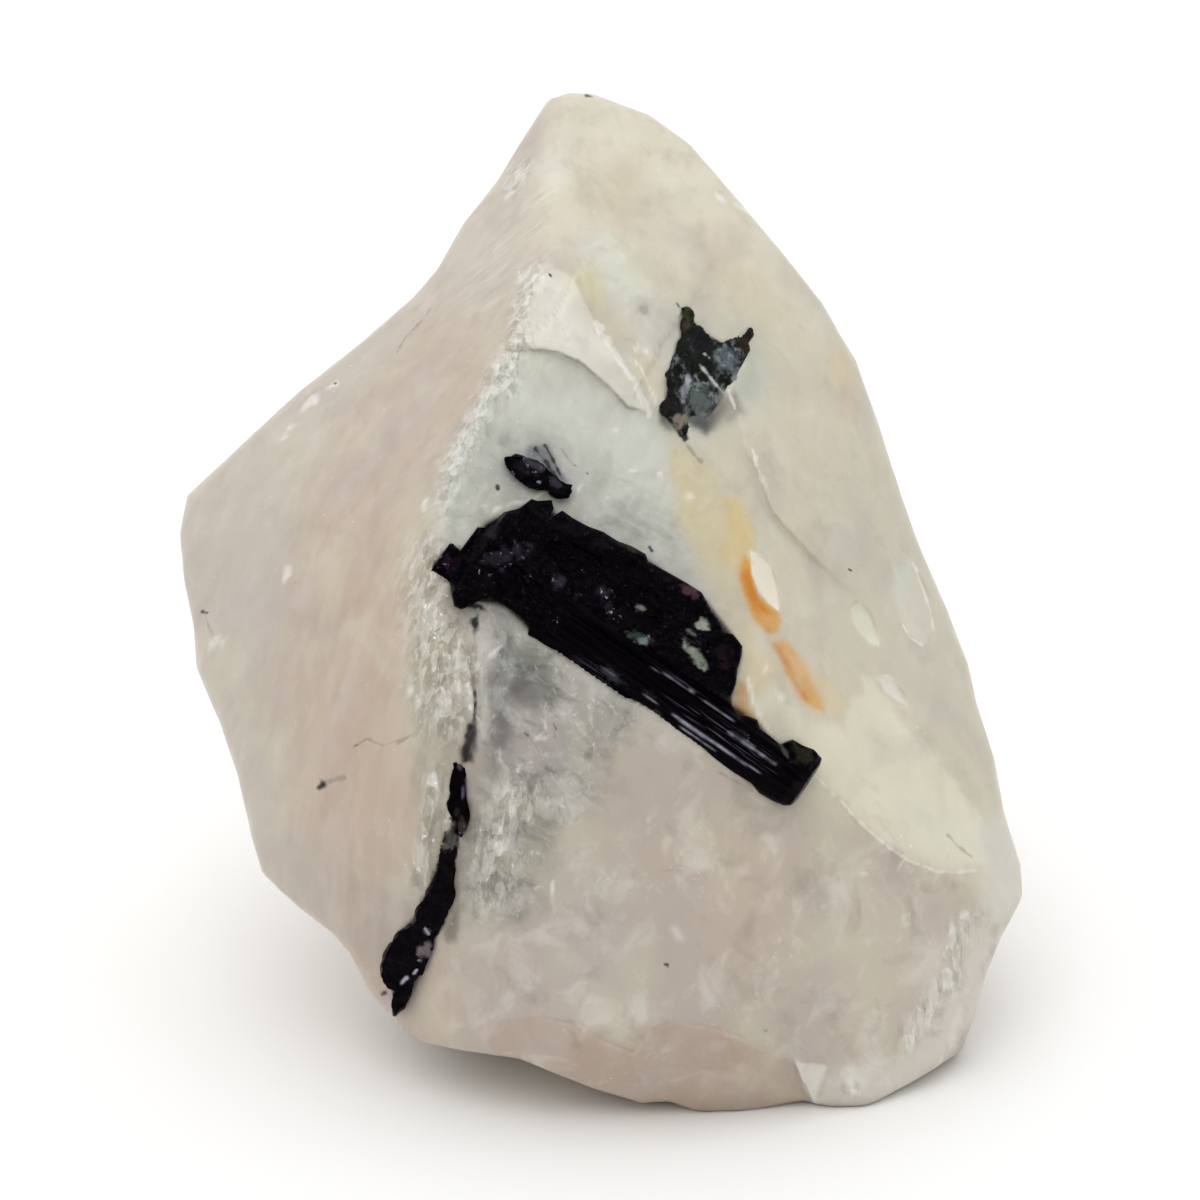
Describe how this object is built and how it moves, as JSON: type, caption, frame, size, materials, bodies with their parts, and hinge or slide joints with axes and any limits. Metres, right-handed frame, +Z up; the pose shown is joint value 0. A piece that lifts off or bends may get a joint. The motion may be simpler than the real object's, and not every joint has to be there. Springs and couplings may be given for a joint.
{
  "type": "rough rose quartz with tourmaline",
  "caption": "Rough lump of pale rose quartz with broken faces, ledges and black tourmaline crystals grown into its front, standing on a small flat spot.",
  "frame": {"origin": "middle of the stone's footprint at the height of the flat spot it stands on", "axes": "+Z up, -Y towards the front with the tourmaline, +X to the right as seen from the front"},
  "size_m": [0.0678, 0.0568, 0.0699],
  "materials": {
    "rose_quartz": "milky, waxy broken faces",
    "black_tourmaline": "glassy black with lengthwise ribs",
    "veiled_tourmaline": "dark under a milky veil"
  },
  "bodies": {
    "root": {"rose_quartz": "rose_quartz", "schorl_main_crystal": "black_tourmaline", "schorl_splinter": "black_tourmaline", "schorl_upper_blade": "black_tourmaline", "schorl_lower_blade": "black_tourmaline", "schorl_plate": "veiled_tourmaline"}
  },
  "joints": []
}
